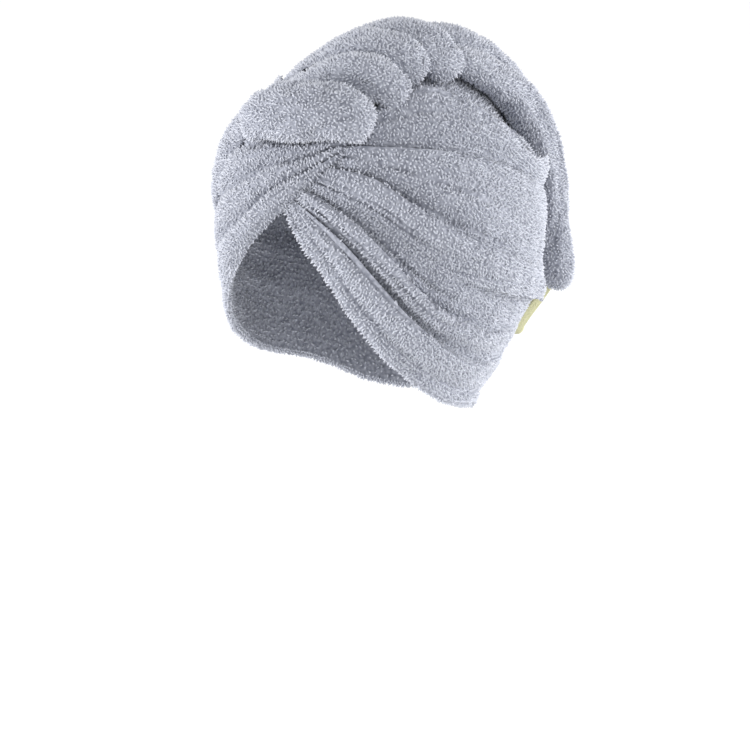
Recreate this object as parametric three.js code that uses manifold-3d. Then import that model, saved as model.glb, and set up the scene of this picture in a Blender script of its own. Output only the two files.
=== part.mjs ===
// Hair turban towel, as it is worn: a terry cloth hood drawn together at the forehead, where its right
// front crosses over its left, with the long tail twisted and turned back over the crown. The elastic loop
// that is sewn to the tail's end hooks over a button on the nape and holds the tail down.
// Millimetres, +Z up, the wearer faces -Y and the wearer's left is +X. The shapes are worked out round the
// middle of the head, and the group is lowered at the end so that the inside of the crown is the origin.
import * as THREE from "three";
import { mergeVertices } from "three/addons/utils/BufferGeometryUtils.js";
import Module from "manifold-3d";

// The head that the hood is stretched over, as half sizes from its middle
const HEAD_HALF_WIDTH = 72;
const HEAD_FRONT_DEPTH = 89;
const HEAD_BACK_DEPTH = 109;
const HEAD_CROWN_HEIGHT = 102;
const HEAD_LOWER_REACH = 139;

// Cloth
const CLOTH_THICKNESS = 4;
const HEM_ROLL = 2.2;
const HEM_ROLL_START = 0.35;
const FOLD_HEIGHT = 8;
const PANEL_FULLNESS = 17;
const LIP_SLOPE = 6;
const LINING_SLOPE = 22;
const SEAT_CLEARANCE = 0.9;
const CUT_CLEARANCE = 0.4;

// Twisted tail and the front wrap
const TAIL_HALF_WIDTH = 50;
const TAIL_THICKNESS = 27;
const TAIL_SIDE_CLEARANCE = 2;
const WRAP_THICKNESS = 9;
const WRAP_EDGE = 1.2;

// Fastening: an elastic loop sewn to the tail's end, hooked over a small button on the nape
const LOOP_BAND_WIDTH = 6;
const LOOP_BAND_THICKNESS = 1.6;
const LOOP_INNER_HALF_WIDTH = 3;
const LOOP_STAND_OFF = 1.8;
const LOOP_ROOT = { angle: 203, sideways: 0.94, height: 31 };
const BUTTON_PLACE = [148, -38];
const BUTTON_SEAT = { radius: 5, thickness: 1.2 };
const BUTTON_NECK_RADIUS = 2.4;
const BUTTON_HEAD = { radius: 3.6, thickness: 1.6 };
const BUTTON_SIDES = 24;

// Places on the head are (azimuth, elevation) in degrees: azimuth 0 is the forehead, 90 the wearer's left ear
// and 180 the back. Each row curve of a hood panel runs from the forehead (first place) to the back of the
// head (last place). crest is the height of the fold along it, as a share of FOLD_HEIGHT, and full says how
// far the cloth stands off the head, as a share of PANEL_FULLNESS, both from the first place to the last.
const LEFT_PANEL = [
  {
    name: "hem",
    crest: [0.1, 0.1, 0.1, 0.1, 0.1, 0.1],
    full: [0.0, 0.05, 0.1, 0.15, 0.2, 0.0],
    places: [[0, 29], [19, 8], [38, -21], [66, -46], [112, -59], [180, -62]],
  },
  {
    name: "hem_fold",
    crest: [0.3, 0.5, 0.55, 0.4, 0.15, 0.0],
    full: [0.0, 0.1, 0.2, 0.3, 0.35, 0.0],
    places: [[0, 32], [23, 18], [46, -9], [73, -33], [116, -45], [180, -47]],
  },
  {
    name: "temple_fold",
    crest: [0.3, 0.55, 0.6, 0.45, 0.1, 0.0],
    full: [0.0, 0.15, 0.3, 0.4, 0.45, 0.1],
    places: [[0, 36], [29, 22], [56, -7], [80, -23], [118, -34], [180, -37]],
  },
  {
    name: "overhang",
    crest: [0.1, 0.1, 0.15, 0.5, 0.6, 0.3],
    full: [0.0, 0.2, 0.4, 0.6, 0.8, 0.4],
    places: [[0, 38], [32, 29], [60, 9], [86, -5], [124, -20], [180, -31]],
  },
  {
    name: "ear_fold",
    crest: [0.3, 0.65, 0.8, 0.6, 0.3, 0.0],
    full: [0.0, 0.2, 0.5, 0.75, 0.95, 0.6],
    places: [[0, 41], [34, 36], [59, 20], [84, 6], [123, -12], [180, -24]],
  },
  {
    name: "upper_fold",
    crest: [0.3, 0.5, 0.7, 0.5, 0.3, 0.0],
    full: [0.0, 0.25, 0.65, 0.9, 1.0, 0.8],
    places: [[0, 45], [30, 46], [62, 42], [95, 33], [131, 12], [180, -8]],
  },
  {
    name: "lip",
    crest: [0.2, 0.5, 0.9, 1.0, 0.9, 0.6],
    full: [0.0, 0.3, 0.7, 0.95, 1.0, 0.9],
    places: [[0, 50], [34, 58], [68, 62], [104, 50], [137, 21], [180, 5]],
  },
  {
    name: "crown_line",
    crest: [0.0, 0.0, 0.0, 0.0, 0.0, 0.0],
    full: [0.0, 0.2, 0.4, 0.6, 0.6, 0.6],
    places: [[0, 54], [0, 75], [180, 80], [180, 55], [180, 35], [180, 20]],
  },
];

// The right panel has the same folds in slightly different places, and its front lies flatter under the wrap:
// only the columns that differ are written. The two panels agree at the forehead and at the back of the head.
const RIGHT_CHANGES = {
  hem_fold: {
    crest: [0.3, 0.0, 0.05, 0.5, 0.3, 0],
    full: [0, 0, 0, 0.1, 0.1, 0],
    places: [[0, 32], [25, 17], [48, -12], [75, -31], [118, -46], [180, -47]],
  },
  temple_fold: {
    crest: [0.3, 0.0, 0.05, 0.6, 0.4, 0],
    full: [0, 0, 0, 0.2, 0.2, 0.1],
    places: [[0, 36], [30, 25], [58, -2], [84, -20], [116, -32], [180, -37]],
  },
  overhang: {
    crest: [0.1, 0.0, 0.0, 0.5, 0.7, 0.3],
    full: [0, 0, 0.05, 0.35, 0.7, 0.4],
  },
  ear_fold: {
    crest: [0.3, 0.1, 0.3, 0.9, 0.8, 0],
    full: [0, 0, 0.1, 0.45, 0.85, 0.6],
    places: [[0, 41], [36, 38], [62, 24], [88, 9], [126, -10], [180, -24]],
  },
  upper_fold: {
    crest: [0.3, 0.0, 0.3, 0.8, 0.8, 0],
    full: [0, 0, 0.05, 0.5, 0.95, 0.8],
    places: [[0, 45], [30, 47], [60, 45], [92, 36], [128, 14], [180, -8]],
  },
  lip: {
    crest: [0.2, 0.0, 0.2, 0.9, 1.0, 0.6],
    full: [0, 0, 0.05, 0.45, 0.95, 0.9],
  },
};

// Places on the tail are (angle, sideways): the angle runs over the head from the forehead (0) past the crown
// (90) to the back (180), and sideways is a share of TAIL_HALF_WIDTH, positive on the wearer's left.
// The tail's outline: its middle line and half width, as shares of TAIL_HALF_WIDTH. Its last quarter leans to
// the left, where the button is.
const TAIL_OUTLINE = [
  { angle: 46, middle: 0.06, half_width: 0.38 },
  { angle: 58, middle: 0.08, half_width: 0.4 },
  { angle: 68, middle: 0.08, half_width: 0.42 },
  { angle: 80, middle: 0.1, half_width: 0.58 },
  { angle: 92, middle: 0.12, half_width: 0.72 },
  { angle: 112, middle: 0.19, half_width: 0.81 },
  { angle: 145, middle: 0.37, half_width: 0.61 },
  { angle: 180, middle: 0.62, half_width: 0.46 },
  { angle: 211, middle: 0.68, half_width: 0.4 },
];

// The rounded turns of cloth that the tail is twisted into. Each runs along its own path of places.
// half_width is a share of TAIL_HALF_WIDTH. rise, how high its top stands off the head, and lift, how high
// its underside is over its bed on the hood, are shares of TAIL_THICKNESS.
const TAIL_TURNS = [
  {
    name: "knot_front",
    path: [[50, -0.52], [51, -0.2], [53, 0.1], [56, 0.4], [57, 0.66]],
    half_width: [0.28, 0.33, 0.34, 0.32, 0.26],
    rise: [1.05, 1.3, 1.4, 1.35, 1.0],
    lift: [0, 0, 0, 0, 0],
  },
  {
    name: "knot_top",
    path: [[62, -0.85], [65, -0.3], [69, 0.2], [71, 0.52], [71, 0.78]],
    half_width: [0.28, 0.26, 0.25, 0.24, 0.2],
    rise: [0.22, 0.46, 0.98, 1.15, 0.95],
    lift: [0, 0, 0, 0, 0],
  },
  {
    name: "crown_front",
    path: [[77, -1.0], [81, -0.4], [84, 0.15], [84, 0.48], [83, 0.68]],
    half_width: [0.32, 0.3, 0.3, 0.28, 0.22],
    rise: [0.22, 0.42, 0.84, 1.0, 0.75],
    lift: [0, 0, 0, 0, 0],
  },
  {
    name: "crown_middle",
    path: [[94, -1.05], [97, -0.4], [99, 0.15], [98, 0.5], [96, 0.78]],
    half_width: [0.34, 0.34, 0.36, 0.34, 0.28],
    rise: [0.25, 0.5, 0.84, 0.98, 0.75],
    lift: [0, 0, 0, 0, 0],
  },
  {
    name: "back_left",
    path: [[103, 0.58], [117, 0.72], [138, 0.82], [162, 0.9], [187, 0.99], [209, 1.03]],
    half_width: [0.24, 0.28, 0.28, 0.28, 0.28, 0.28],
    rise: [0.7, 0.86, 1.08, 1.2, 1.28, 1.7],
    lift: [0, 0, 0, 0, 0.1, 0.5],
  },
  {
    name: "back_middle",
    path: [[106, 0.2], [120, 0.32], [142, 0.48], [166, 0.6], [188, 0.68], [204, 0.72]],
    half_width: [0.3, 0.36, 0.34, 0.3, 0.28, 0.24],
    rise: [0.72, 0.92, 1.06, 1.12, 1.16, 1.2],
    lift: [0, 0, 0, 0, 0.1, 0.45],
  },
  {
    name: "back_right",
    path: [[108, -0.42], [122, -0.22], [144, 0.06], [168, 0.28], [188, 0.4], [202, 0.44]],
    half_width: [0.28, 0.34, 0.3, 0.26, 0.22, 0.2],
    rise: [0.5, 0.76, 0.94, 1.0, 1.02, 1.0],
    lift: [0, 0, 0, 0, 0.05, 0.3],
  },
  {
    name: "side_strip",
    path: [[56, -0.2], [54, -0.62], [45, -0.94], [30, -1.14], [8, -1.24]],
    half_width: [0.3, 0.29, 0.29, 0.3, 0.28],
    rise: [0.6, 0.64, 0.66, 0.56, 0.24],
    lift: [0, 0, 0, 0, 0],
  },
];
const TAIL_CORE = 0.42;

// The wrap is the right front of the hood crossing over the left: its lower edge is the hem, and its upper
// edge lies under the knot. thick_low and thick_high are its thickness at the two edges, as shares of
// WRAP_THICKNESS.
const WRAP_SECTIONS = [
  { lower: [30, 48], upper: [31, 50], thick_low: 0.3, thick_high: 0.3 },
  { lower: [20, 42], upper: [23, 51], thick_low: 0.7, thick_high: 0.8 },
  { lower: [8, 31], upper: [6, 50], thick_low: 1.1, thick_high: 1.0 },
  { lower: [-5, 20], upper: [-14, 52], thick_low: 1.1, thick_high: 1.2 },
  { lower: [-18, 3], upper: [-34, 52], thick_low: 0.8, thick_high: 1.2 },
  { lower: [-38, -21], upper: [-60, 42], thick_low: 0.1, thick_high: 0.6 },
  { lower: [-66, -44], upper: [-84, 20], thick_low: 0.0, thick_high: 0.1 },
];
const WRAP_RIDGES = 3;
const WRAP_RIDGE_DEPTH = 0.45;

// Mesh steps
const PANEL_STATIONS = 28;
const BAND_STEPS = [0, 0.2, 0.45, 0.75];
const LINING_ROWS = 8;
const CORE_STEPS = 16;
const CORE_STRIPS = 4;
const TURN_STEPS = 10;
const TURN_SIDES = 9;
const WRAP_STEPS = 13;
const WRAP_STRIPS = 8;

const wasm = await Module();
wasm.setup();

const degrees = (value) => THREE.MathUtils.degToRad(value);
const smooth = (low, high, value) => THREE.MathUtils.smoothstep(value, low, high);

// Unit vector from the middle of the head towards a place
function direction([azimuth, elevation]) {
  const [a, e] = [degrees(azimuth), degrees(elevation)];
  return new THREE.Vector3(Math.cos(e) * Math.sin(a), -Math.cos(e) * Math.cos(a), Math.sin(e));
}

// Distance from the middle of the head to its skin along a unit vector
function headRadius(towards) {
  const depth = towards.y < 0 ? HEAD_FRONT_DEPTH : HEAD_BACK_DEPTH;
  const height = towards.z > 0 ? HEAD_CROWN_HEIGHT : HEAD_LOWER_REACH;
  return 1 / Math.hypot(towards.x / HEAD_HALF_WIDTH, towards.y / depth, towards.z / height);
}

// Angle over the head from the forehead (0) past the crown (90) to the back (180)
function overHead(towards) {
  const angle = THREE.MathUtils.radToDeg(Math.atan2(towards.z, -towards.y));
  return angle < -90 ? angle + 360 : angle;
}

// Value of a table's column between its rows, which are in order of the key
function between(rows, key, column, at) {
  const last = rows.length - 1;
  let i = 0;
  while (i < last - 1 && at > rows[i + 1][key]) i++;
  const share = THREE.MathUtils.clamp((at - rows[i][key]) / (rows[i + 1][key] - rows[i][key]), 0, 1);
  const eased = share * share * (3 - 2 * share);
  return THREE.MathUtils.lerp(rows[i][column], rows[i + 1][column], 0.5 * (share + eased));
}

const tailHalfWidth = (angle) => TAIL_HALF_WIDTH * between(TAIL_OUTLINE, "angle", "half_width", angle);
const tailMiddle = (angle) => TAIL_HALF_WIDTH * between(TAIL_OUTLINE, "angle", "middle", angle);

// A row of numbers, one per place, read between them
function along(values, share) {
  const x = share * (values.length - 1);
  const i = Math.min(Math.floor(x), values.length - 2);
  return THREE.MathUtils.lerp(values[i], values[i + 1], x - i);
}

// How much of the cloth's fullness is left beside and under the tail, which lies in a trough on the hood
function outsideTrough(towards, slope) {
  const angle = overHead(towards);
  const trough = smooth(64, 80, angle) * (1 - smooth(208, 218, angle));
  const sideways = Math.abs(towards.x * headRadius(towards) - tailMiddle(angle));
  const side = sideways - tailHalfWidth(angle) - TAIL_SIDE_CLEARANCE;
  return 1 - trough * (1 - smooth(0, slope, side));
}

// A panel's row curves as smooth curves of unit vectors. side is 1 for the left panel and -1 for the right,
// whose hem is rolled only behind the wrap.
function rowCurves(side) {
  const rows = LEFT_PANEL.map((row) => {
    const used = side < 0 ? { ...row, ...RIGHT_CHANGES[row.name] } : row;
    const points = used.places.map(([azimuth, elevation]) => direction([side * azimuth, elevation]));
    return { ...used, curve: new THREE.CatmullRomCurve3(points, false, "centripetal") };
  });
  return Object.assign(rows, { rollFrom: side < 0 ? HEM_ROLL_START : 0 });
}

// The cloth at a station along a panel (0 at the forehead, 1 at the back) and at a share of the band between
// row i and the next. Each band rises softly from the foot of the fold below it to its own crest.
function panelPoint(rows, station, i, share, lift) {
  const [low, high] = [rows[i], rows[Math.min(i + 1, rows.length - 1)]];
  const from = low.curve.getPoint(station).normalize();
  const to = high.curve.getPoint(station).normalize();
  const towards = from.lerp(to, share).normalize();
  const drop = 1 - smooth(0, 0.3, share);
  const rise = smooth(0.1, 1, share);
  const fold = along(low.crest, station) * drop + along(high.crest, station) * rise;
  const full = THREE.MathUtils.lerp(along(low.full, station), along(high.full, station), share);
  const rolled = smooth(rows.rollFrom, rows.rollFrom + 0.15, station);
  const hem = i === 0 ? HEM_ROLL * rolled * (1 - smooth(0.2, 0.7, share)) : 0;
  const stand = (PANEL_FULLNESS * full + lift.fold * FOLD_HEIGHT * fold) * outsideTrough(towards, lift.slope);
  return towards.multiplyScalar(headRadius(towards) + stand + lift.cloth + lift.fold * hem);
}

// Gathers triangles by their corners, and closes them into one solid
class Skin {
  corners = [];
  triangle(...points) {
    this.corners.push(...points);
  }
  // Quads over a grid of points, given row by row. flip turns the faces round.
  grid(rows, flip = false) {
    for (let i = 0; i + 1 < rows.length; i++) {
      for (let j = 0; j + 1 < rows[i].length; j++) {
        const quad = [rows[i][j], rows[i][j + 1], rows[i + 1][j + 1], rows[i + 1][j]];
        if (flip) quad.reverse();
        this.triangle(quad[0], quad[1], quad[2]);
        this.triangle(quad[0], quad[2], quad[3]);
      }
    }
  }
  // A fan over a closed ring of points, whose last point is its first
  cap(ring, flip) {
    const middle = ring.slice(1).reduce((sum, point) => sum.add(point), new THREE.Vector3());
    middle.divideScalar(ring.length - 1);
    for (let j = 0; j + 1 < ring.length; j++) {
      const [one, two] = flip ? [ring[j + 1], ring[j]] : [ring[j], ring[j + 1]];
      this.triangle(middle, one, two);
    }
  }
  solid() {
    return solidOf(new THREE.BufferGeometry().setFromPoints(this.corners));
  }
}

function solidOf(geometry) {
  for (const extra of ["normal", "uv"]) geometry.deleteAttribute(extra);
  const merged = mergeVertices(geometry, 1e-3);
  const triVerts = new Uint32Array(merged.index.array).reduce((kept, _, at, all) => {
    const corner = all.slice(at, at + 3);
    if (at % 3 === 0 && new Set(corner).size === 3) kept.push(...corner);
    return kept;
  }, []);
  const vertProperties = merged.attributes.position.array;
  const mesh = { numProp: 3, vertProperties, triVerts: new Uint32Array(triVerts) };
  return new wasm.Manifold(new wasm.Mesh(mesh));
}

// The triangles of a solid's largest body, without the slivers that a cut can leave
function mainBody(triVerts, cornerCount) {
  const owner = Uint32Array.from({ length: cornerCount }, (_, i) => i);
  const find = (i) => {
    while (owner[i] !== i) i = owner[i] = owner[owner[i]];
    return i;
  };
  for (let i = 0; i < triVerts.length; i += 3) {
    owner[find(triVerts[i + 1])] = find(triVerts[i]);
    owner[find(triVerts[i + 2])] = find(triVerts[i]);
  }
  const bodies = new Map();
  for (let i = 0; i < triVerts.length; i += 3) {
    const body = find(triVerts[i]);
    if (!bodies.has(body)) bodies.set(body, []);
    bodies.get(body).push(...triVerts.subarray(i, i + 3));
  }
  return [...bodies.values()].reduce((best, body) => (body.length > best.length ? body : best));
}

function meshOf(name, solid, { colour, roughness }) {
  const made = solid.getMesh();
  const geometry = new THREE.BufferGeometry();
  geometry.setAttribute("position", new THREE.BufferAttribute(new Float32Array(made.vertProperties), 3));
  geometry.setIndex(mainBody(made.triVerts, made.vertProperties.length / 3));
  geometry.computeVertexNormals();
  const material = new THREE.MeshStandardMaterial({ color: colour, roughness, metalness: 0 });
  const mesh = new THREE.Mesh(geometry, material);
  mesh.name = name;
  return mesh;
}

// Rows of points of one panel's cloth, from hem to crown line
function panelGrid(side, lift, steps) {
  const rows = rowCurves(side);
  const grid = [];
  const addRow = (i, share) => {
    const points = [];
    for (let k = 0; k <= PANEL_STATIONS; k++) {
      points.push(panelPoint(rows, k / PANEL_STATIONS, i, share, lift));
    }
    grid.push(points);
  };
  for (let i = 0; i + 1 < rows.length; i++) steps.forEach((share) => addRow(i, share));
  addRow(rows.length - 2, 1);
  return grid;
}

// The hood: left and right panels outside, the same without folds inside, joined round the hem. For the solid
// that cuts the pieces lying on the hood, extra moves the outer skin out, and it isn't hollow.
function hoodSolid(extra, hollow) {
  const skin = new Skin();
  for (const side of [1, -1]) {
    const outer = panelGrid(side, { fold: 1, cloth: CLOTH_THICKNESS + extra, slope: LIP_SLOPE }, BAND_STEPS);
    const innerCloth = hollow ? 0 : -HEAD_HALF_WIDTH / 2;
    const full = panelGrid(side, { fold: 0, cloth: innerCloth, slope: LINING_SLOPE }, [0]);
    const inner = full.slice(0, LINING_ROWS);
    skin.grid(outer, side < 0);
    skin.grid(inner, side > 0);
    skin.grid([inner[0], outer[0]], side < 0);
  }
  return skin.solid();
}

// A place on the head at an angle over it and a distance to the side, raised off the skin
function overHeadPoint(angle, sideways, height) {
  const [c, s] = [-Math.cos(degrees(angle)), Math.sin(degrees(angle))];
  const depth = c < 0 ? HEAD_FRONT_DEPTH : HEAD_BACK_DEPTH;
  const rise = s > 0 ? HEAD_CROWN_HEIGHT : HEAD_LOWER_REACH;
  const narrowed = Math.sqrt(Math.max(0, 1 - (sideways / HEAD_HALF_WIDTH) ** 2));
  const flat = narrowed / Math.hypot(c / depth, s / rise);
  const point = new THREE.Vector3(sideways, c * flat, s * flat);
  return point.setLength(point.length() + height);
}

// A closed slab over a grid: bed(i, j) and top(i, j) give its lower and upper points
function slab(steps, strips, bed, top) {
  const rows = (face) => {
    const grid = [];
    for (let i = 0; i <= steps; i++) {
      const row = [];
      for (let j = 0; j <= strips; j++) row.push(face(i / steps, j / strips));
      grid.push(row);
    }
    return grid;
  };
  const [low, high] = [rows(bed), rows(top)];
  const skin = new Skin();
  skin.grid(high);
  skin.grid(low, true);
  skin.grid([low[0], high[0]]);
  skin.grid([low[steps], high[steps]], true);
  skin.grid([low.map((row) => row[0]), high.map((row) => row[0])], true);
  skin.grid([low.map((row) => row[strips]), high.map((row) => row[strips])]);
  return skin.solid();
}

// Share of full size near the two ends of a turn, which are rounded
const roundedEnds = (at) => Math.pow(1 - (1 - Math.min(1, Math.min(at, 1 - at) / 0.13)) ** 2.6, 1 / 2.6);

// One turn of the tail: an oval roll along its path, lying on the hood
function turnSolid(turn, extra) {
  const places = turn.path.map(([angle, side]) => new THREE.Vector3(angle, side, 0));
  const path = new THREE.CatmullRomCurve3(places);
  const on = (at) => {
    const place = path.getPoint(THREE.MathUtils.clamp(at, 0, 1));
    return overHeadPoint(place.x, place.y * TAIL_HALF_WIDTH, 0);
  };
  const rings = [];
  for (let i = 0; i <= TURN_STEPS; i++) {
    const at = THREE.MathUtils.lerp(0.5, 99.5, i / TURN_STEPS) / 100;
    const up = on(at).normalize();
    const ahead = on(at + 0.01).sub(on(at - 0.01)).normalize();
    const side = new THREE.Vector3().crossVectors(ahead, up).normalize();
    const size = roundedEnds(at);
    const bed = CLOTH_THICKNESS + SEAT_CLEARANCE + TAIL_THICKNESS * along(turn.lift, at);
    const reach = TAIL_HALF_WIDTH * along(turn.half_width, at) * size + extra;
    const tall = 0.5 * (TAIL_THICKNESS * along(turn.rise, at) - bed) * size + extra;
    const middle = on(at).addScaledVector(up, 0.5 * (TAIL_THICKNESS * along(turn.rise, at) + bed));
    const ring = [];
    for (let j = 0; j <= TURN_SIDES; j++) {
      const turned = (2 * Math.PI * (j % TURN_SIDES)) / TURN_SIDES;
      const across = side.clone().multiplyScalar(reach * Math.cos(turned));
      ring.push(middle.clone().add(across).addScaledVector(up, tall * Math.sin(turned)));
    }
    rings.push(ring);
  }
  const skin = new Skin();
  skin.grid(rings, true);
  skin.cap(rings[0], false);
  skin.cap(rings.at(-1), true);
  return skin.solid();
}

// The tail's inside, which joins its turns
function coreSolid(extra) {
  const [first, last] = [TAIL_OUTLINE[0].angle + 4, TAIL_OUTLINE.at(-1).angle - 4];
  const bed = CLOTH_THICKNESS + SEAT_CLEARANCE;
  const place = (i, j, height) => {
    const angle = THREE.MathUtils.lerp(first, last, i);
    const reach = 0.7 * tailHalfWidth(angle) + extra;
    return overHeadPoint(angle, tailMiddle(angle) + (2 * j - 1) * reach, height);
  };
  return slab(
    CORE_STEPS,
    CORE_STRIPS,
    (i, j) => place(i, j, bed - extra),
    (i, j) => place(i, j, TAIL_CORE * TAIL_THICKNESS + extra),
  );
}

function tailSolid(extra) {
  const turns = TAIL_TURNS.map((turn) => turnSolid(turn, extra));
  return turns.reduce((all, one) => all.add(one), coreSolid(extra));
}

function wrapSolid() {
  const lower = new THREE.CatmullRomCurve3(WRAP_SECTIONS.map((row) => direction(row.lower)));
  const upper = new THREE.CatmullRomCurve3(WRAP_SECTIONS.map((row) => direction(row.upper)));
  const lowEdge = WRAP_SECTIONS.map((row) => row.thick_low);
  const highEdge = WRAP_SECTIONS.map((row) => row.thick_high);
  const place = (i, j, height) => {
    const towards = lower.getPoint(i).normalize().lerp(upper.getPoint(i).normalize(), j).normalize();
    return towards.multiplyScalar(headRadius(towards) + height);
  };
  const tall = (i, j) => {
    const edge = Math.pow(1 - Math.abs(2 * j - 1) ** 4, 0.5);
    const groove = Math.pow(Math.abs(Math.cos(Math.PI * WRAP_RIDGES * j)), 4);
    const ridge = 1 - WRAP_RIDGE_DEPTH * groove * smooth(0, 0.4, i);
    const thickness = THREE.MathUtils.lerp(along(lowEdge, i), along(highEdge, i), smooth(0.1, 0.9, j));
    return WRAP_EDGE + WRAP_THICKNESS * thickness * edge * ridge;
  };
  return slab(
    WRAP_STEPS,
    WRAP_STRIPS,
    (i, j) => place(i, j, CLOTH_THICKNESS + SEAT_CLEARANCE),
    (i, j) => place(i, j, CLOTH_THICKNESS + SEAT_CLEARANCE + tall(i, j)),
  );
}

// The hood's outer skin at a place, found by a ray cast at the hood's own mesh
function hoodSkinAt(place, hoodMesh) {
  const towards = direction(place);
  const far = towards.clone().multiplyScalar(3 * HEAD_LOWER_REACH);
  hoodMesh.updateMatrixWorld();
  return new THREE.Raycaster(far, towards.clone().negate()).intersectObject(hoodMesh)[0].point;
}

// A frame at the button, x across the loop, y from the button to the tail and z out of the cloth, and the
// length from the button's middle to the loop's other end
function fasteningFrame(hoodMesh) {
  const root = overHeadPoint(LOOP_ROOT.angle, LOOP_ROOT.sideways * TAIL_HALF_WIDTH, LOOP_ROOT.height);
  const button = hoodSkinAt(BUTTON_PLACE, hoodMesh);
  const outwards = direction(BUTTON_PLACE);
  const stand = BUTTON_SEAT.thickness + 0.5 * LOOP_BAND_WIDTH + LOOP_STAND_OFF;
  const centre = button.clone().addScaledVector(outwards, stand);
  const ahead = root.clone().sub(centre);
  const length = ahead.length();
  const y = ahead.normalize();
  const x = new THREE.Vector3().crossVectors(y, outwards).normalize();
  const z = new THREE.Vector3().crossVectors(x, y);
  const matrix = new THREE.Matrix4().makeBasis(x, y, z).setPosition(centre);
  return { matrix, length };
}

// A flat band bent into a long ring, its width along z
function loopSolid({ matrix, length }, extra) {
  const outer = LOOP_INNER_HALF_WIDTH + LOOP_BAND_THICKNESS + extra;
  const inner = LOOP_INNER_HALF_WIDTH - extra;
  const ring = (Type, radius) => {
    const path = new Type();
    path.absarc(0, 0, radius, Math.PI, 2 * Math.PI, false);
    path.absarc(0, length, radius, 0, Math.PI, false);
    return path;
  };
  const shape = ring(THREE.Shape, outer);
  shape.holes.push(ring(THREE.Path, inner));
  const depth = LOOP_BAND_WIDTH + 2 * extra;
  const geometry = new THREE.ExtrudeGeometry(shape, { depth, bevelEnabled: false, curveSegments: 12 });
  return solidOf(geometry.translate(0, 0, -0.5 * depth).applyMatrix4(matrix));
}

// A small turned button: a seat on the cloth, a neck that the loop goes round, and a head
function buttonSolid({ matrix }) {
  const low = -0.5 * LOOP_BAND_WIDTH - 0.5;
  const high = 0.5 * LOOP_BAND_WIDTH + 0.4;
  const profile = [
    [0, low - BUTTON_SEAT.thickness],
    [BUTTON_SEAT.radius, low - BUTTON_SEAT.thickness],
    [BUTTON_SEAT.radius, low],
    [BUTTON_NECK_RADIUS, low],
    [BUTTON_NECK_RADIUS, high],
    [BUTTON_HEAD.radius, high],
    [BUTTON_HEAD.radius, high + 0.5 * BUTTON_HEAD.thickness],
    [0.6 * BUTTON_HEAD.radius, high + BUTTON_HEAD.thickness],
    [0, high + BUTTON_HEAD.thickness],
  ].map(([radius, height]) => new THREE.Vector2(radius, height));
  const geometry = new THREE.LatheGeometry(profile, BUTTON_SIDES).rotateX(Math.PI / 2);
  return solidOf(geometry.applyMatrix4(matrix));
}

const CLOTH = { colour: 0xbcbdca, roughness: 0.95 };
const ELASTIC = { colour: 0xc6c592, roughness: 0.8 };
const BUTTON = { colour: 0xc9c79a, roughness: 0.5 };

const hood = meshOf("hood", hoodSolid(0, true), CLOTH);
const hoodCutter = hoodSolid(CUT_CLEARANCE, false);
const fastening = fasteningFrame(hood);
const loopCutter = loopSolid(fastening, CUT_CLEARANCE);
const tail = tailSolid(0).subtract(hoodCutter).subtract(loopCutter);
const wrap = wrapSolid().subtract(hoodCutter).subtract(tailSolid(CUT_CLEARANCE));

const towel = new THREE.Group();
towel.add(hood);
towel.add(meshOf("front_wrap", wrap, CLOTH));
towel.add(meshOf("twisted_tail", tail, CLOTH));
towel.add(meshOf("elastic_loop", loopSolid(fastening, 0).subtract(hoodCutter), ELASTIC));
towel.add(meshOf("button", buttonSolid(fastening).subtract(hoodCutter), BUTTON));
towel.position.z = -HEAD_CROWN_HEIGHT;

export default towel;
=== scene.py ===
# Hair turban towel as it is worn: a pleated terry hood, its crossed front, the twisted tail and its elastic loop
import math

import bmesh
import bpy
import numpy as np
from mathutils import Matrix, Vector, noise
from mathutils.bvhtree import BVHTree


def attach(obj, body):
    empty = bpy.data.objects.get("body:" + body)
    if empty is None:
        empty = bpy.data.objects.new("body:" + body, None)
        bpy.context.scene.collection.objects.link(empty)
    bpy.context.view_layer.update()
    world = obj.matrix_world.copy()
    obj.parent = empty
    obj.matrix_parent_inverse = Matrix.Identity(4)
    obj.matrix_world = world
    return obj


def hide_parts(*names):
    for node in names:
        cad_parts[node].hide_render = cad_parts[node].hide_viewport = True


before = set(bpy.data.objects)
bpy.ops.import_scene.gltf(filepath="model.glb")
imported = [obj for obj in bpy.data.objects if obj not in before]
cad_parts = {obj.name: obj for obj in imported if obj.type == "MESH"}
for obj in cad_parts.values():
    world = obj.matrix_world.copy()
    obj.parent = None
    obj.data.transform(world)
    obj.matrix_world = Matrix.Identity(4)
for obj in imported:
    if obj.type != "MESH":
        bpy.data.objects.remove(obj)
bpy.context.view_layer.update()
scene = bpy.context.scene

# The hollow that the cloth is stretched round: half sizes in mm from its middle, crownHeight under the origin
head = {"halfWidth": 72, "frontDepth": 89, "backDepth": 109, "crownHeight": 102, "lowerReach": 139}


def smooth(low, high, value):
    share = np.clip((value - low) / (high - low), 0, 1)
    return share * share * (3 - 2 * share)


def unit(vectors):
    return vectors / np.linalg.norm(vectors, axis=-1, keepdims=True)


def toMetres(points):
    return (points - (0, 0, head["crownHeight"])) / 1000


def direction(azimuth, elevation):
    a, e = np.radians(azimuth), np.radians(elevation)
    return np.stack([np.cos(e) * np.sin(a), -np.cos(e) * np.cos(a), np.sin(e)], -1)


def headRadius(towards):
    depth = np.where(towards[..., 1] < 0, head["frontDepth"], head["backDepth"])
    height = np.where(towards[..., 2] > 0, head["crownHeight"], head["lowerReach"])
    x, y, z = towards[..., 0] / head["halfWidth"], towards[..., 1] / depth, towards[..., 2] / height
    return 1 / np.sqrt(x * x + y * y + z * z)


def along(values, share):  # a row of numbers, one per place, read between them
    return np.interp(share, np.linspace(0, 1, len(values)), values)


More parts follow.
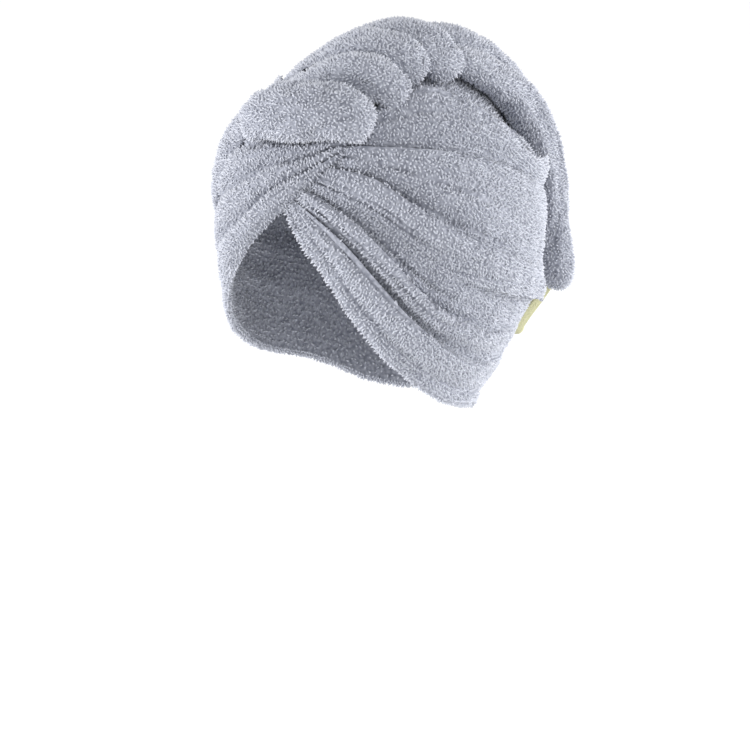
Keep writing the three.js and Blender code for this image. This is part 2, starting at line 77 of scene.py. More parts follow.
def curveAt(points, share, power=0.25):  # smooth curve through points, share 0 to 1
    points = np.asarray(points, float)
    ends = [2 * points[0] - points[1]], [2 * points[-1] - points[-2]]
    padded = np.concatenate([ends[0], points, ends[1]])
    at = np.clip(share, 0, 1) * (len(points) - 1)
    i = np.minimum(at.astype(int), len(points) - 2)
    w = (at - i)[:, None]
    p0, p1, p2, p3 = (padded[i + k] for k in range(4))
    steps = ((p0, p1), (p1, p2), (p2, p3))
    d0, d1, d2 = (np.maximum(np.sum((b - a) ** 2, -1, keepdims=True) ** power, 1e-4) for a, b in steps)
    t1 = ((p1 - p0) / d0 - (p2 - p0) / (d0 + d1) + (p2 - p1) / d1) * d1
    t2 = ((p2 - p1) / d1 - (p3 - p1) / (d1 + d2) + (p3 - p2) / d2) * d1
    return p1 + t1 * w + (3 * (p2 - p1) - 2 * t1 - t2) * w**2 + (2 * (p1 - p2) + t1 + t2) * w**3


def noiseAt(points, cell, seed=0):  # soft noise, about -1 to 1, one lump for each cell in mm
    moved = np.asarray(points) / cell + seed * 7.31
    return np.array([noise.noise(Vector(p)) for p in moved])


def newPiece(name, mesh, material):
    mesh.materials.clear()
    mesh.materials.append(material)
    mesh.polygons.foreach_set("use_smooth", np.ones(len(mesh.polygons), bool))
    piece = bpy.data.objects.new(name, mesh)
    scene.collection.objects.link(piece)
    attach(piece, "root")
    return piece


def meshPoints(mesh):
    points = np.empty(len(mesh.vertices) * 3)
    mesh.vertices.foreach_get("co", points)
    return points.reshape(-1, 3)


def movePoints(mesh, points):
    mesh.vertices.foreach_set("co", np.asarray(points, np.float32).ravel())
    mesh.update()


def gridPiece(name, steps, around, place, material):  # a grid bent into a closed piece, merged at its seams
    bm = bmesh.new()
    bm.loops.layers.uv.new("OFBake")
    bmesh.ops.create_grid(bm, x_segments=steps, y_segments=around, size=1, calc_uvs=True)
    mesh = bpy.data.meshes.new(name)
    bm.to_mesh(mesh)
    bm.free()
    flat = np.clip((meshPoints(mesh)[:, :2] + 1) / 2, 0, 1)
    movePoints(mesh, place(flat[:, 0], flat[:, 1]))
    bm = bmesh.new()
    bm.from_mesh(mesh)
    bmesh.ops.remove_doubles(bm, verts=[v for v in bm.verts if v.is_boundary], dist=2e-6)
    bmesh.ops.recalc_face_normals(bm, faces=bm.faces)
    openEdges = sum(1 for e in bm.edges if not e.is_manifold)
    print(name, "open edges", openEdges, "triangles", sum(len(f.verts) - 2 for f in bm.faces))
    bm.to_mesh(mesh)
    bm.free()
    return newPiece(name, mesh, material)


def linear(hexColour):  # sRGB hex to the linear colour that a socket takes
    parts = [int(hexColour[i : i + 2], 16) / 255 for i in (1, 3, 5)]
    return [p / 12.92 if p <= 0.04045 else ((p + 0.055) / 1.055) ** 2.4 for p in parts] + [1]


def addNode(tree, kind, settings=None, links=None):
    node = tree.nodes.new(kind)
    for key, value in (settings or {}).items():
        if isinstance(key, int) or key in node.inputs:
            node.inputs[key].default_value = value
        else:
            setattr(node, key, value)
    for key, source in (links or {}).items():
        tree.links.new(source, node.inputs[key])
    return node


def newMaterial(name, settings):
    material = bpy.data.materials.new(name)
    material.use_nodes = True
    shader = material.node_tree.nodes["Principled BSDF"]
    for key, value in settings.items():
        shader.inputs[key].default_value = value
    return material, material.node_tree, shader


terryLook = {
    "lit": "#cdd0da",  # tips of the loops, the lit end of the painted shade on each loop
    "deep": "#a4a7b3",  # painted shade at the foot of the loops, where the ground weave shows
    # the ground's lit colour and, next, its painted shade in the gaps between the loops
    "groundLit": "#b4b7c2",
    "groundGapShade": "#7b7e89",  # painted shade between the loops
    "loopPitch": 1.9,  # mm
    "yarnLump": 2.6,  # mm
    "patch": 24,  # mm, soft uneven dyeing
}

# Cotton terry, looped pile on a woven ground, dyed pale lilac grey: no gloss, a little light on loose fibres; each
# loop has painted shade at its foot
pileMaterial, tree, shader = newMaterial(
    "cottonTerryPile",
    {"Roughness": 0.95, "Sheen Weight": 0.25, "Sheen Roughness": 0.5, "Specular IOR Level": 0.2},
)
place = addNode(tree, "ShaderNodeTexCoord")
height = addNode(tree, "ShaderNodeAttribute", {"attribute_name": "loopHeight"})
where = {"Vector": place.outputs["Object"]}
yarn = addNode(tree, "ShaderNodeTexNoise", {"Scale": 1000 / terryLook["yarnLump"], "Detail": 2.0}, where)
dye = addNode(tree, "ShaderNodeTexNoise", {"Scale": 1000 / terryLook["patch"], "Detail": 1.0}, where)
mixing = {"operation": "MULTIPLY_ADD", 1: 0.5}
# painted shade: loopHeight darkens each loop towards its foot, mixed with the yarn's random tone and the dye patches
uneven = addNode(tree, "ShaderNodeMath", mixing, {0: yarn.outputs["Fac"], 2: height.outputs["Fac"]})
mixing = {"operation": "MULTIPLY_ADD", 1: 0.3}
dyeAndFootShade = addNode(tree, "ShaderNodeMath", mixing, {0: dye.outputs["Fac"], 2: uneven.outputs[0]})
ramp = addNode(tree, "ShaderNodeValToRGB", {}, {"Fac": dyeAndFootShade.outputs[0]})
ramp.color_ramp.elements[0].position = 0.25
ramp.color_ramp.elements[0].color = linear(terryLook["deep"])
ramp.color_ramp.elements[1].color = linear(terryLook["lit"])
tree.links.new(ramp.outputs["Color"], shader.inputs["Base Color"])

# The woven ground under the pile, with short loops pressed flat: seen between the loops, and painted darker away from
# each loop's middle as painted shade in the gaps
groundMaterial, tree, shader = newMaterial(
    "cottonTerryGround",
    {"Roughness": 0.97, "Sheen Weight": 0.2, "Sheen Roughness": 0.5, "Specular IOR Level": 0.2},
)
place = addNode(tree, "ShaderNodeTexCoord")
where = {"Vector": place.outputs["Object"]}
cells = {"Scale": 1000 / terryLook["loopPitch"], "feature": "SMOOTH_F1"}
loops = addNode(tree, "ShaderNodeTexVoronoi", cells, where)
# painted shade: darker towards the gaps between the loops
ramp = addNode(tree, "ShaderNodeValToRGB", {}, {"Fac": loops.outputs["Distance"]})
ramp.color_ramp.elements[0].color = linear(terryLook["groundLit"])
ramp.color_ramp.elements[1].position = 0.7
ramp.color_ramp.elements[1].color = linear(terryLook["groundGapShade"])
tree.links.new(ramp.outputs["Color"], shader.inputs["Base Color"])
raised = {"Strength": 0.8, "Distance": 0.001, "invert": True}
bump = addNode(tree, "ShaderNodeBump", raised, {"Height": loops.outputs["Distance"]})
tree.links.new(bump.outputs["Normal"], shader.inputs["Normal"])


# Hood. Places are (azimuth, elevation) in degrees round the hollow: 0 is the forehead, 90 the left ear, 180 the back.
# Each row is a line of the cloth from the forehead to the back. crest is the height of its fold as a share of
# foldHeight, full how far the cloth stands off as a share of fullness, and facing 1 is a fold whose edge looks up.
hood = {
    "cloth": 2.7,
    "foldHeight": 10,
    "foldEdge": 4.5,
    "fullness": 17,
    "lean": 0.6,
    "tuck": 0.35,
    "gather": 3.4,
    "hemBand": 7,
    "hemRoll": 1.6,
    "stations": 150,
    "liningRows": 34,
    "rimRows": 6,
    "left": [
        {"crest": [0.1] * 6, "full": [0, 0.05, 0.1, 0.15, 0.2, 0], "facing": 1,
         "places": [(0, 29), (19, 8), (38, -21), (66, -46), (112, -59), (180, -62)]},
        {"crest": [0.1, 0.7, 0.75, 0.5, 0.1, 0], "full": [0, 0.1, 0.2, 0.3, 0.35, 0], "facing": 1,
         "places": [(0, 32), (23, 18), (46, -9), (73, -33), (116, -45), (180, -47)]},
        {"crest": [0.1, 0.75, 0.85, 0.55, 0.1, 0], "full": [0, 0.15, 0.3, 0.4, 0.45, 0.1], "facing": 1,
         "places": [(0, 36), (29, 22), (56, -7), (80, -23), (118, -34), (180, -37)]},
        {"crest": [0.1, 0.1, 0.15, 0.5, 0.6, 0.3], "full": [0, 0.2, 0.4, 0.6, 0.8, 0.4], "facing": -1,
         "places": [(0, 38), (32, 29), (60, 9), (86, -5), (124, -20), (180, -31)]},
        {"crest": [0.1, 0.8, 0.95, 0.6, 0.2, 0], "full": [0, 0.2, 0.5, 0.68, 0.8, 0.6], "facing": 1,
         "places": [(0, 41), (34, 36), (59, 20), (84, 6), (123, -12), (180, -24)]},
        {"crest": [0.1, 0.55, 0.75, 0.45, 0.1, 0], "full": [0, 0.25, 0.65, 0.78, 0.76, 0.8], "facing": 1,
         "places": [(0, 45), (30, 46), (62, 42), (95, 33), (131, 12), (180, -8)]},
        {"crest": [0.2, 0.5, 0.9, 0.9, 0.7, 0.6], "full": [0, 0.3, 0.7, 0.76, 0.68, 0.9], "facing": 1,
         "places": [(0, 50), (34, 57), (66, 59), (96, 46), (121, 26), (180, 5)]},
        {"crest": [0] * 6, "full": [0, 0.2, 0.4, 0.6, 0.6, 0.6], "facing": 1,
         "places": [(0, 54), (0, 75), (180, 80), (180, 55), (180, 35), (180, 20)]},
    ],
    # what differs on the right, by row
    "right": {
        1: {"crest": [0.1, 0, 0.05, 0.5, 0.3, 0], "full": [0, 0, 0, 0.1, 0.1, 0],
            "places": [(0, 32), (25, 17), (48, -12), (75, -31), (118, -46), (180, -47)]},
        2: {"crest": [0.1, 0, 0.05, 0.6, 0.4, 0], "full": [0, 0, 0, 0.2, 0.2, 0.1],
            "places": [(0, 36), (30, 25), (58, -2), (84, -20), (116, -32), (180, -37)]},
        3: {"crest": [0.1, 0, 0, 0.5, 0.7, 0.3], "full": [0, 0, 0.05, 0.35, 0.7, 0.4]},
        4: {"crest": [0.1, 0.1, 0.3, 0.9, 0.8, 0], "full": [0, 0, 0.1, 0.45, 0.85, 0.6],
            "places": [(0, 41), (36, 38), (62, 24), (88, 9), (126, -10), (180, -24)]},
        5: {"crest": [0.1, 0, 0.3, 0.8, 0.8, 0], "full": [0, 0, 0.05, 0.5, 0.95, 0.8],
            "places": [(0, 45), (30, 47), (60, 45), (92, 36), (128, 14), (180, -8)]},
        6: {"crest": [0.2, 0, 0.2, 0.9, 1, 0.6], "full": [0, 0, 0.05, 0.45, 0.95, 0.9]},
    },
}

tail = {
    "halfWidth": 50,
    "thickness": 27,
    "bed": 4.9,
    "sideClearance": 2,
    "core": 0.42,
    "voxel": 1.6,
    # angle over the top from the forehead (0) past the crown (90) to the back (180), middle and half width shares
    "outline": [(46, 0.06, 0.38), (58, 0.08, 0.4), (68, 0.08, 0.42), (80, 0.1, 0.58), (92, 0.12, 0.72),
                (112, 0.19, 0.81), (145, 0.37, 0.61), (180, 0.62, 0.46), (211, 0.68, 0.4)],
    # path of (angle, sideways share), then half width, rise and lift as shares, and the ridges round the roll
    "turns": [
        {"path": [(50, -0.52), (51, -0.2), (53, 0.1), (56, 0.4), (57, 0.66)], "half": [0.28, 0.33, 0.34, 0.32, 0.26],
         "rise": [1.05, 1.3, 1.4, 1.35, 1.0], "lift": [0] * 5, "ridges": 5},
        {"path": [(62, -0.85), (65, -0.3), (69, 0.2), (71, 0.52), (71, 0.78)], "half": [0.28, 0.26, 0.25, 0.24, 0.2],
         "rise": [0.22, 0.46, 0.98, 1.15, 0.95], "lift": [0] * 5, "ridges": 4},
        {"path": [(77, -1.0), (81, -0.4), (84, 0.15), (84, 0.48), (83, 0.68)], "half": [0.32, 0.3, 0.3, 0.28, 0.22],
         "rise": [0.22, 0.42, 0.84, 1.0, 0.75], "lift": [0] * 5, "ridges": 5},
        {"path": [(94, -1.05), (97, -0.4), (99, 0.15), (98, 0.5), (96, 0.78)], "half": [0.34, 0.34, 0.36, 0.34, 0.28],
         "rise": [0.25, 0.5, 0.84, 0.98, 0.75], "lift": [0] * 5, "ridges": 6},
        {"path": [(103, 0.58), (117, 0.72), (138, 0.82), (162, 0.9), (187, 0.99), (209, 1.03)],
         "half": [0.24, 0.28, 0.28, 0.28, 0.28, 0.28], "rise": [0.7, 0.86, 1.08, 1.2, 1.28, 1.7],
         "lift": [0, 0, 0, 0, 0.1, 0.5], "ridges": 5},
        {"path": [(106, 0.2), (120, 0.32), (142, 0.48), (166, 0.6), (188, 0.68), (204, 0.72)],
         "half": [0.3, 0.36, 0.34, 0.3, 0.28, 0.24], "rise": [0.72, 0.92, 1.06, 1.12, 1.16, 1.2],
         "lift": [0, 0, 0, 0, 0.1, 0.45], "ridges": 5},
        {"path": [(108, -0.42), (122, -0.22), (144, 0.06), (168, 0.28), (188, 0.4), (202, 0.44)],
         "half": [0.28, 0.34, 0.3, 0.26, 0.22, 0.2], "rise": [0.5, 0.76, 0.94, 1.0, 1.02, 1.0],
         "lift": [0, 0, 0, 0, 0.05, 0.3], "ridges": 5},
        {"path": [(56, -0.2), (54, -0.62), (45, -0.94), (30, -1.14), (8, -1.24)], "half": [0.3, 0.29, 0.29, 0.3, 0.28],
         "rise": [0.6, 0.64, 0.66, 0.56, 0.24], "lift": [0] * 5, "ridges": 4},
    ],
}


def outlineAt(angle, column):
    rows = np.array(tail["outline"])
    i = np.clip(np.searchsorted(rows[:, 0], angle) - 1, 0, len(rows) - 2)
    share = np.clip((angle - rows[i, 0]) / (rows[i + 1, 0] - rows[i, 0]), 0, 1)
    share = 0.5 * (share + smooth(0, 1, share))
    return tail["halfWidth"] * (rows[i, column] + (rows[i + 1, column] - rows[i, column]) * share)


def outsideTrough(towards, slope):  # the hood lies lower where the tail lies on it
    angle = np.degrees(np.arctan2(towards[:, 2], -towards[:, 1]))
    angle = np.where(angle < -90, angle + 360, angle)
    trough = smooth(64, 80, angle) * (1 - smooth(208, 218, angle))
    sideways = np.abs(towards[:, 0] * headRadius(towards) - outlineAt(angle, 1))
    return 1 - trough * (1 - smooth(0, slope, sideways - outlineAt(angle, 2) - tail["sideClearance"]))


def panelRows(side):
    rows = []
    for i, row in enumerate(hood["left"]):
        used = {**row, **(hood["right"].get(i, {}) if side < 0 else {})}
        used["points"] = np.array([direction(side * a, e) for a, e in used["places"]])
        rows.append(used)
    return rows


hoodRows = {1: panelRows(1), -1: panelRows(-1)}


def panelPoint(side, station, row, lining):
    rows = hoodRows[side]
    points = np.empty((len(station), 3))
    band = np.minimum(row.astype(int), len(rows) - 2)
    for i in range(len(rows) - 1):
        here = band == i
        if not here.any():
            continue
        s, q, low, high = station[here], row[here] - i, rows[i], rows[i + 1]
        start, end = unit(curveAt(low["points"], s)), unit(curveAt(high["points"], s))
        towards = unit(start + (end - start) * q[:, None])
        radius = headRadius(towards)
        width = np.linalg.norm(end - start, axis=1) * radius
        upwards = unit(end - start + 1e-9 - towards * np.sum((end - start) * towards, 1)[:, None])
        crestLow, crestHigh = along(low["crest"], s), along(high["crest"], s)
        full = along(low["full"], s) * (1 - q) + along(high["full"], s) * q
        if lining:
            fold = 0.4 * (crestLow * (1 - smooth(0, 0.3, q)) + crestHigh * smooth(0.1, 1, q))
            stand = (hood["fullness"] * full + hood["foldHeight"] * fold) * outsideTrough(towards, 22)
            points[here] = towards * (radius + stand)[:, None]
            continue
        # a fold's edge is foldEdge deep whatever the band's width
        step = np.clip(hood["foldEdge"] / np.maximum(width, 1), 0.04, 0.3)
        if low["facing"] > 0:
            fromLow = 1 - smooth(0.1 * step, step, q)
            tuck = smooth(0.3 * step, 0.7 * step, q) * (1 - smooth(0.8 * step, 2.2 * step, q))
            leanLow = (1 - smooth(0, 0.45 * step, q)) - hood["tuck"] * tuck
        else:
            fromLow = 1 - smooth(0.1, 1, q)
            leanLow = -(1 - smooth(0, 0.3, q))
        if high["facing"] > 0:
            fromHigh = smooth(0.1, 1, q) ** 1.15
            leanHigh = smooth(0.7, 1, q)
        else:
            fromHigh = smooth(1 - step, 1 - 0.1 * step, q)
            tuck = smooth(1 - 2.2 * step, 1 - 0.8 * step, q) * (1 - smooth(1 - 0.7 * step, 1 - 0.3 * step, q))
            leanHigh = -smooth(1 - 0.45 * step, 1, q) + hood["tuck"] * tuck
        fold = crestLow * fromLow + crestHigh * fromHigh
        lean = hood["lean"] * (crestLow * leanLow + crestHigh * leanHigh) * hood["foldHeight"]
        # narrow gathers that fan out from the knot and fade towards the back
        gathered = smooth(0.02, 0.1, s) * (1 - smooth(0.3, 0.8, s))
        gathered = gathered * smooth(0, 0.12, q) * (1 - smooth(0.88, 1, q))
        if i == len(rows) - 2:
            gathered = gathered * 0.3
        wave = noiseAt(np.stack([(row[here] + 11 * (side < 0)) * 3.1, s * 1.7, np.zeros(len(s))], 1), 1, 3)
        fine = hood["gather"] * gathered * (np.minimum(1, 4 * np.abs(wave)) ** 0.6 - 0.65)
        # soft unevenness all over
        soft = 0.9 * noiseAt(towards * 100, 17, 5) + 0.5 * noiseAt(towards * 100, 8, 9)
        calm = smooth(0, 0.06, s) * (1 - smooth(0.94, 1, s))
        hem = 0
        if i == 0:
            fromHem = q * width
            rolled = smooth(0.35, 0.5, s) if side < 0 else smooth(0.01, 0.08, s)
            hem = rolled * (hood["hemRoll"] * (1 - smooth(hood["hemBand"] - 2, hood["hemBand"], fromHem))
                            - 0.7 * np.exp(-(((fromHem - hood["hemBand"] - 0.6) / 1.3) ** 2)))
        outside = outsideTrough(towards, 6)
        stand = (hood["fullness"] * full + hood["foldHeight"] * fold + (fine + soft) * calm) * outside
        height = radius + stand + hood["cloth"] + hem
        points[here] = towards * height[:, None] + upwards * (lean * outside)[:, None]
    return points


# The closed section runs round the left outside, right outside, rim, right lining, left lining and rim
bandCount = len(hood["left"]) - 1


def hoodPoint(station, ring):
    points = np.empty((len(station), 3))
    n = bandCount
    parts = [
        (0, n, lambda s, r: panelPoint(1, s, r, False)),
        (n, 2 * n, lambda s, r: panelPoint(-1, s, 2 * n - r, False)),
        (2 * n, 2 * n + 1, lambda s, r: hemRim(-1, s, r - 2 * n)),
        (2 * n + 1, 3 * n + 1, lambda s, r: panelPoint(-1, s, r - 2 * n - 1, True)),
        (3 * n + 1, 4 * n + 1, lambda s, r: panelPoint(1, s, 4 * n + 1 - r, True)),
        (4 * n + 1, 4 * n + 2, lambda s, r: hemRim(1, s, 4 * n + 2 - r)),
    ]
    for k, (low, high, make) in enumerate(parts):
        here = (ring >= low) & ((ring < high) if k + 1 < len(parts) else (ring <= high + 1e-9))
        if here.any():
            points[here] = make(station[here], ring[here])
    return points


def hemRim(side, station, turn):  # round the hem from the outside (0) to the lining (1)
    outer = panelPoint(side, station, np.zeros(len(station)), False)
    inner = panelPoint(side, station, np.zeros(len(station)), True)
    above = panelPoint(side, station, np.full(len(station), 0.02), True)
    middle, half = (outer + inner) / 2, (outer - inner) / 2
    down = unit(inner - above) * np.linalg.norm(half, axis=1, keepdims=True)
    a = np.pi * np.clip(turn, 0, 1)[:, None]
    return middle + half * np.cos(a) + down * np.sin(a)


def ringSteps():
    # closest at a fold's edge
    fine = [0, 0.012, 0.025, 0.04, 0.058, 0.08, 0.105, 0.135, 0.17, 0.215, 0.27, 0.33]
    fine += [0.4, 0.47, 0.54, 0.61, 0.68, 0.74, 0.8, 0.85, 0.89, 0.93, 0.96, 0.982]
    mirrored = [0] + [1 - q for q in reversed(fine[1:])]
    left, right = [], []
    for i in range(bandCount):
        left += [i + q for q in fine]
        right += [bandCount + i + q for q in mirrored]
    n = bandCount
    rim = [2 * n + k / hood["rimRows"] for k in range(hood["rimRows"])]
    lining = [2 * n + 1 + 2 * n * k / (2 * hood["liningRows"]) for k in range(2 * hood["liningRows"])]
    rimLeft = [4 * n + 1 + k / hood["rimRows"] for k in range(hood["rimRows"] + 1)]
    return np.array(left + right + rim + lining + rimLeft)


rings = ringSteps()


def hoodGrid(u, v):  # closer stations at the knot and at the back
    station = 0.3 * (u + smooth(0, 1, u)) + 0.4 * u
    return toMetres(hoodPoint(station, rings[np.round(v * (len(rings) - 1)).astype(int)]))


hoodPiece = gridPiece("terry_hood", hood["stations"], len(rings) - 1, hoodGrid, groundMaterial)
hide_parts("hood")


# The tail is measured over the hollow: an angle, a sideways distance and a height in mm
def overHeadPoint(angle, sideways, height):
    c, s = -np.cos(np.radians(angle)), np.sin(np.radians(angle))
    depth = np.where(c < 0, head["frontDepth"], head["backDepth"])
    rise = np.where(s > 0, head["crownHeight"], head["lowerReach"])
    flat = np.sqrt(np.maximum(0, 1 - (sideways / head["halfWidth"]) ** 2)) / np.hypot(c / depth, s / rise)
    point = np.stack([sideways, c * flat, s * flat], 1)
    length = np.linalg.norm(point, axis=1)
    return point * ((length + height) / length)[:, None]


def turnPoint(turn, at, around, number):
    def on(share):
        place = curveAt(turn["path"], share)
        return overHeadPoint(place[:, 0], place[:, 1] * tail["halfWidth"], 0)

    inner = np.clip(at, 0.012, 0.988)
    up = unit(on(inner))
    side = unit(np.cross(on(inner + 0.01) - on(inner - 0.01), up))
    size = (1 - (1 - np.minimum(1, np.minimum(at, 1 - at) / 0.13)) ** 2.6) ** (1 / 2.6)
    bed = tail["bed"] + tail["thickness"] * along(turn["lift"], at)
    top = tail["thickness"] * along(turn["rise"], at)
    # lengthwise wrinkles that twist a little along the roll
    twist = turn["ridges"] * around / (2 * np.pi) + 0.9 * at
    spread = 0.42 * turn["ridges"]
    wave = noiseAt(np.stack([spread * np.cos(around), spread * np.sin(around), at * 2.4 + twist * 0.08], 1), 1, number)
    wrinkle = 0.98 - 0.17 * (1 - smooth(0.01, 0.18, np.abs(wave))) + 0.06 * wave
    reach = tail["halfWidth"] * along(turn["half"], at) * size * wrinkle
    tall = 0.5 * (top - bed) * size * wrinkle
    height = 0.5 * (top + bed) + tall * np.sin(around)
    return on(at) + up * height[:, None] + side * (reach * np.cos(around))[:, None]


def tailTurns():
    outline = tail["outline"]
    angles = np.linspace(outline[0][0] + 4, outline[-1][0] - 4, 9)
    core = {
        "path": [(a, float(outlineAt(np.array([a]), 1)[0]) / tail["halfWidth"]) for a in angles],
        "half": [0.75 * float(outlineAt(np.array([a]), 2)[0]) / tail["halfWidth"] for a in angles],
        "rise": [tail["core"]] * 9, "lift": [0] * 9, "ridges": 3,
    }
    return tail["turns"] + [core]


bm = bmesh.new()
for number, turn in enumerate(tailTurns()):
    made = bmesh.ops.create_uvsphere(bm, u_segments=56, v_segments=90, radius=1)["verts"]
    sphere = np.array([v.co for v in made])
    at, around = np.clip((1 - sphere[:, 2]) / 2, 0, 1), np.arctan2(sphere[:, 1], sphere[:, 0])
    points = toMetres(turnPoint(turn, at, around, number + 1))
    for vert, point in zip(made, points):
        vert.co = point
bmesh.ops.recalc_face_normals(bm, faces=bm.faces)
mesh = bpy.data.meshes.new("twistedTail")
bm.to_mesh(mesh)
bm.free()
rough = bpy.data.objects.new("roughTail", mesh)
scene.collection.objects.link(rough)
remesh = rough.modifiers.new("join", "REMESH")
remesh.mode = "VOXEL"
remesh.voxel_size = tail["voxel"] / 1000
rough.modifiers.new("soften", "SMOOTH").iterations = 2
bpy.context.view_layer.update()
mesh = bpy.data.meshes.new_from_object(rough.evaluated_get(bpy.context.evaluated_depsgraph_get()))
bpy.data.objects.remove(rough)
points = meshPoints(mesh)
bm = bmesh.new()
bm.from_mesh(mesh)
normals = np.array([v.normal for v in bm.verts])
bm.free()
inMm = points * 1000
uneven = 0.8 * noiseAt(inMm, 11, 21) + 0.45 * noiseAt(inMm, 5, 23) - 1.0
movePoints(mesh, points + normals * (uneven / 1000)[:, None])
print("tail: triangles", sum(len(p.vertices) - 2 for p in mesh.polygons))
tailPiece = newPiece("terry_twisted_tail", mesh, groundMaterial)
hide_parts("twisted_tail")


# The right front, which crosses over the left
wrap = {
    "thickness": 9,
    "edge": 1.2,
    "bed": 3.4,
    "ridges": 4,
    "ridgeDepth": 0.42,
    "steps": 110,
    "around": 96,
    # (lower place, upper place, thickness at the lower edge, at the upper edge)
    "sections": [((30, 48), (31, 50), 0.3, 0.3), ((20, 43), (23, 52), 0.9, 0.9),
                 ((8, 33), (6, 51), 1.15, 1.1), ((-5, 20), (-14, 52), 1.1, 1.2),
                 ((-18, 3), (-34, 52), 0.8, 1.2), ((-38, -21), (-60, 42), 0.1, 0.6),
                 ((-66, -44), (-84, 20), 0, 0.1)],
}


def wrapPoint(at, around):  # around 0 to 0.5 runs over the top from the lower edge, 0.5 to 1 back under it
    rows = wrap["sections"]
    lower = unit(curveAt([direction(*row[0]) for row in rows], at))
    upper = unit(curveAt([direction(*row[1]) for row in rows], at))
    across = np.where(around < 0.5, 2 * around, 2 - 2 * around)
    eased = 0.5 - 0.5 * np.cos(np.pi * across)
    towards = unit(lower + (upper - lower) * eased[:, None])
    lowEdge, highEdge = along([r[2] for r in rows], at), along([r[3] for r in rows], at)
    thick = lowEdge + (highEdge - lowEdge) * smooth(0.1, 0.9, eased)
    edge = (1 - np.abs(2 * eased - 1) ** 4) ** 0.5
    wobble = 0.05 * noiseAt(np.stack([at * 5, eased * 2, np.zeros(len(at))], 1), 1, 41)
    groove = np.abs(np.cos(np.pi * wrap["ridges"] * (eased + wobble))) ** 4
    minor = 0.12 * np.abs(np.cos(np.pi * 8 * (eased + wobble))) ** 3
    ridge = 1 - (wrap["ridgeDepth"] * groove + minor) * smooth(0, 0.12, at)
    ends = smooth(0, 0.04, at) * (1 - smooth(0.93, 1, at))
    top = wrap["bed"] + (wrap["edge"] + wrap["thickness"] * thick * ridge) * edge * ends
    soft = 0.6 * noiseAt(towards * 100, 12, 43) * edge * ends
    height = np.where(around < 0.5, top + soft, wrap["bed"] - 0.6 * edge * ends)
    return towards * (headRadius(towards) + height)[:, None]


def wrapGrid(u, v):
    return toMetres(wrapPoint(u, v % 1.0))


wrapPiece = gridPiece("terry_front_wrap", wrap["steps"], wrap["around"], wrapGrid, groundMaterial)
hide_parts("front_wrap")


# Small bent loops of yarn that stand on the cloth
pile = {
    "pitch": 1.75,  # mm between loops and between their rows
    "liningPitch": 3.1,
    "tall": 1.5,
    "long": 1.9,
    "yarn": 0.5,  # half the yarn's thickness
    "tilt": 0.28,
    "most": 16000,  # loops to a piece
}
rng = np.random.default_rng(7)


def thinned(points, order, gap):  # keeps a point where no kept one is nearer than gap
    cells, kept = {}, []
    keys = np.floor(points / gap).astype(int)
    near = [(a, b, c) for a in (-1, 0, 1) for b in (-1, 0, 1) for c in (-1, 0, 1)]
    for i in order:
        kx, ky, kz = keys[i]
        px, py, pz = points[i]
        free = True
        for a, b, c in near:
            for qx, qy, qz in cells.get((kx + a, ky + b, kz + c), ()):
                if (qx - px) ** 2 + (qy - py) ** 2 + (qz - pz) ** 2 < gap * gap:
                    free = False
                    break
            if not free:
                break
        if free:
            cells.setdefault((kx, ky, kz), []).append((px, py, pz))
            kept.append(i)
    return np.array(kept)


def rowsOfPlaces(surface, ringLow, ringHigh, pitch, middle):
    probe = np.linspace(ringLow, ringHigh, 2400)
    section = surface(np.full(len(probe), middle), probe)
    length = np.concatenate([[0], np.cumsum(np.linalg.norm(np.diff(section, axis=0), axis=1))])
    lines = np.interp(np.arange(0.5 * pitch, length[-1], pitch), length, probe)
    order = sorted(range(len(lines)), key=lambda k: int(format(k, "010b")[::-1], 2))
    share = np.linspace(0.004, 0.996, 500)
    stations, ringsOut, rank = [], [], []
    for k in order:
        row = surface(share, np.full(len(share), lines[k]))
        run = np.concatenate([[0], np.cumsum(np.linalg.norm(np.diff(row, axis=0), axis=1))])
        spots = np.arange(rng.uniform(0.2, 0.8) * pitch, run[-1], pitch)
        spots = spots + rng.normal(0, 0.22 * pitch, len(spots))
        stations.append(np.interp(spots, run, share))
        ringsOut.append(np.full(len(spots), lines[k]))
    station, ring = np.concatenate(stations), np.concatenate(ringsOut)
    ring = ring + rng.normal(0, 0.24, len(ring)) * pitch * (ringHigh - ringLow) / length[-1]
    ring = np.clip(ring, ringLow, ringHigh - 1e-4)
    points = surface(station, ring)
    easy = 1e-3
    before, after = np.clip(station - easy, 0, 1), np.clip(station + easy, 0, 1)
    alongRow = surface(after, ring) - surface(before, ring)
    before, after = np.clip(ring - easy, ringLow, ringHigh), np.clip(ring + easy, ringLow, ringHigh)
    acrossRow = surface(station, after) - surface(station, before)
    normal = np.cross(alongRow, acrossRow)
    length = np.linalg.norm(normal, axis=1)
    good = length > 1e-9
    points, normal, acrossRow = points[good], normal[good] / length[good][:, None], acrossRow[good]
    keep = thinned(points, range(len(points)), 0.7 * pitch)
    return points[keep], normal[keep], unit(acrossRow[keep])


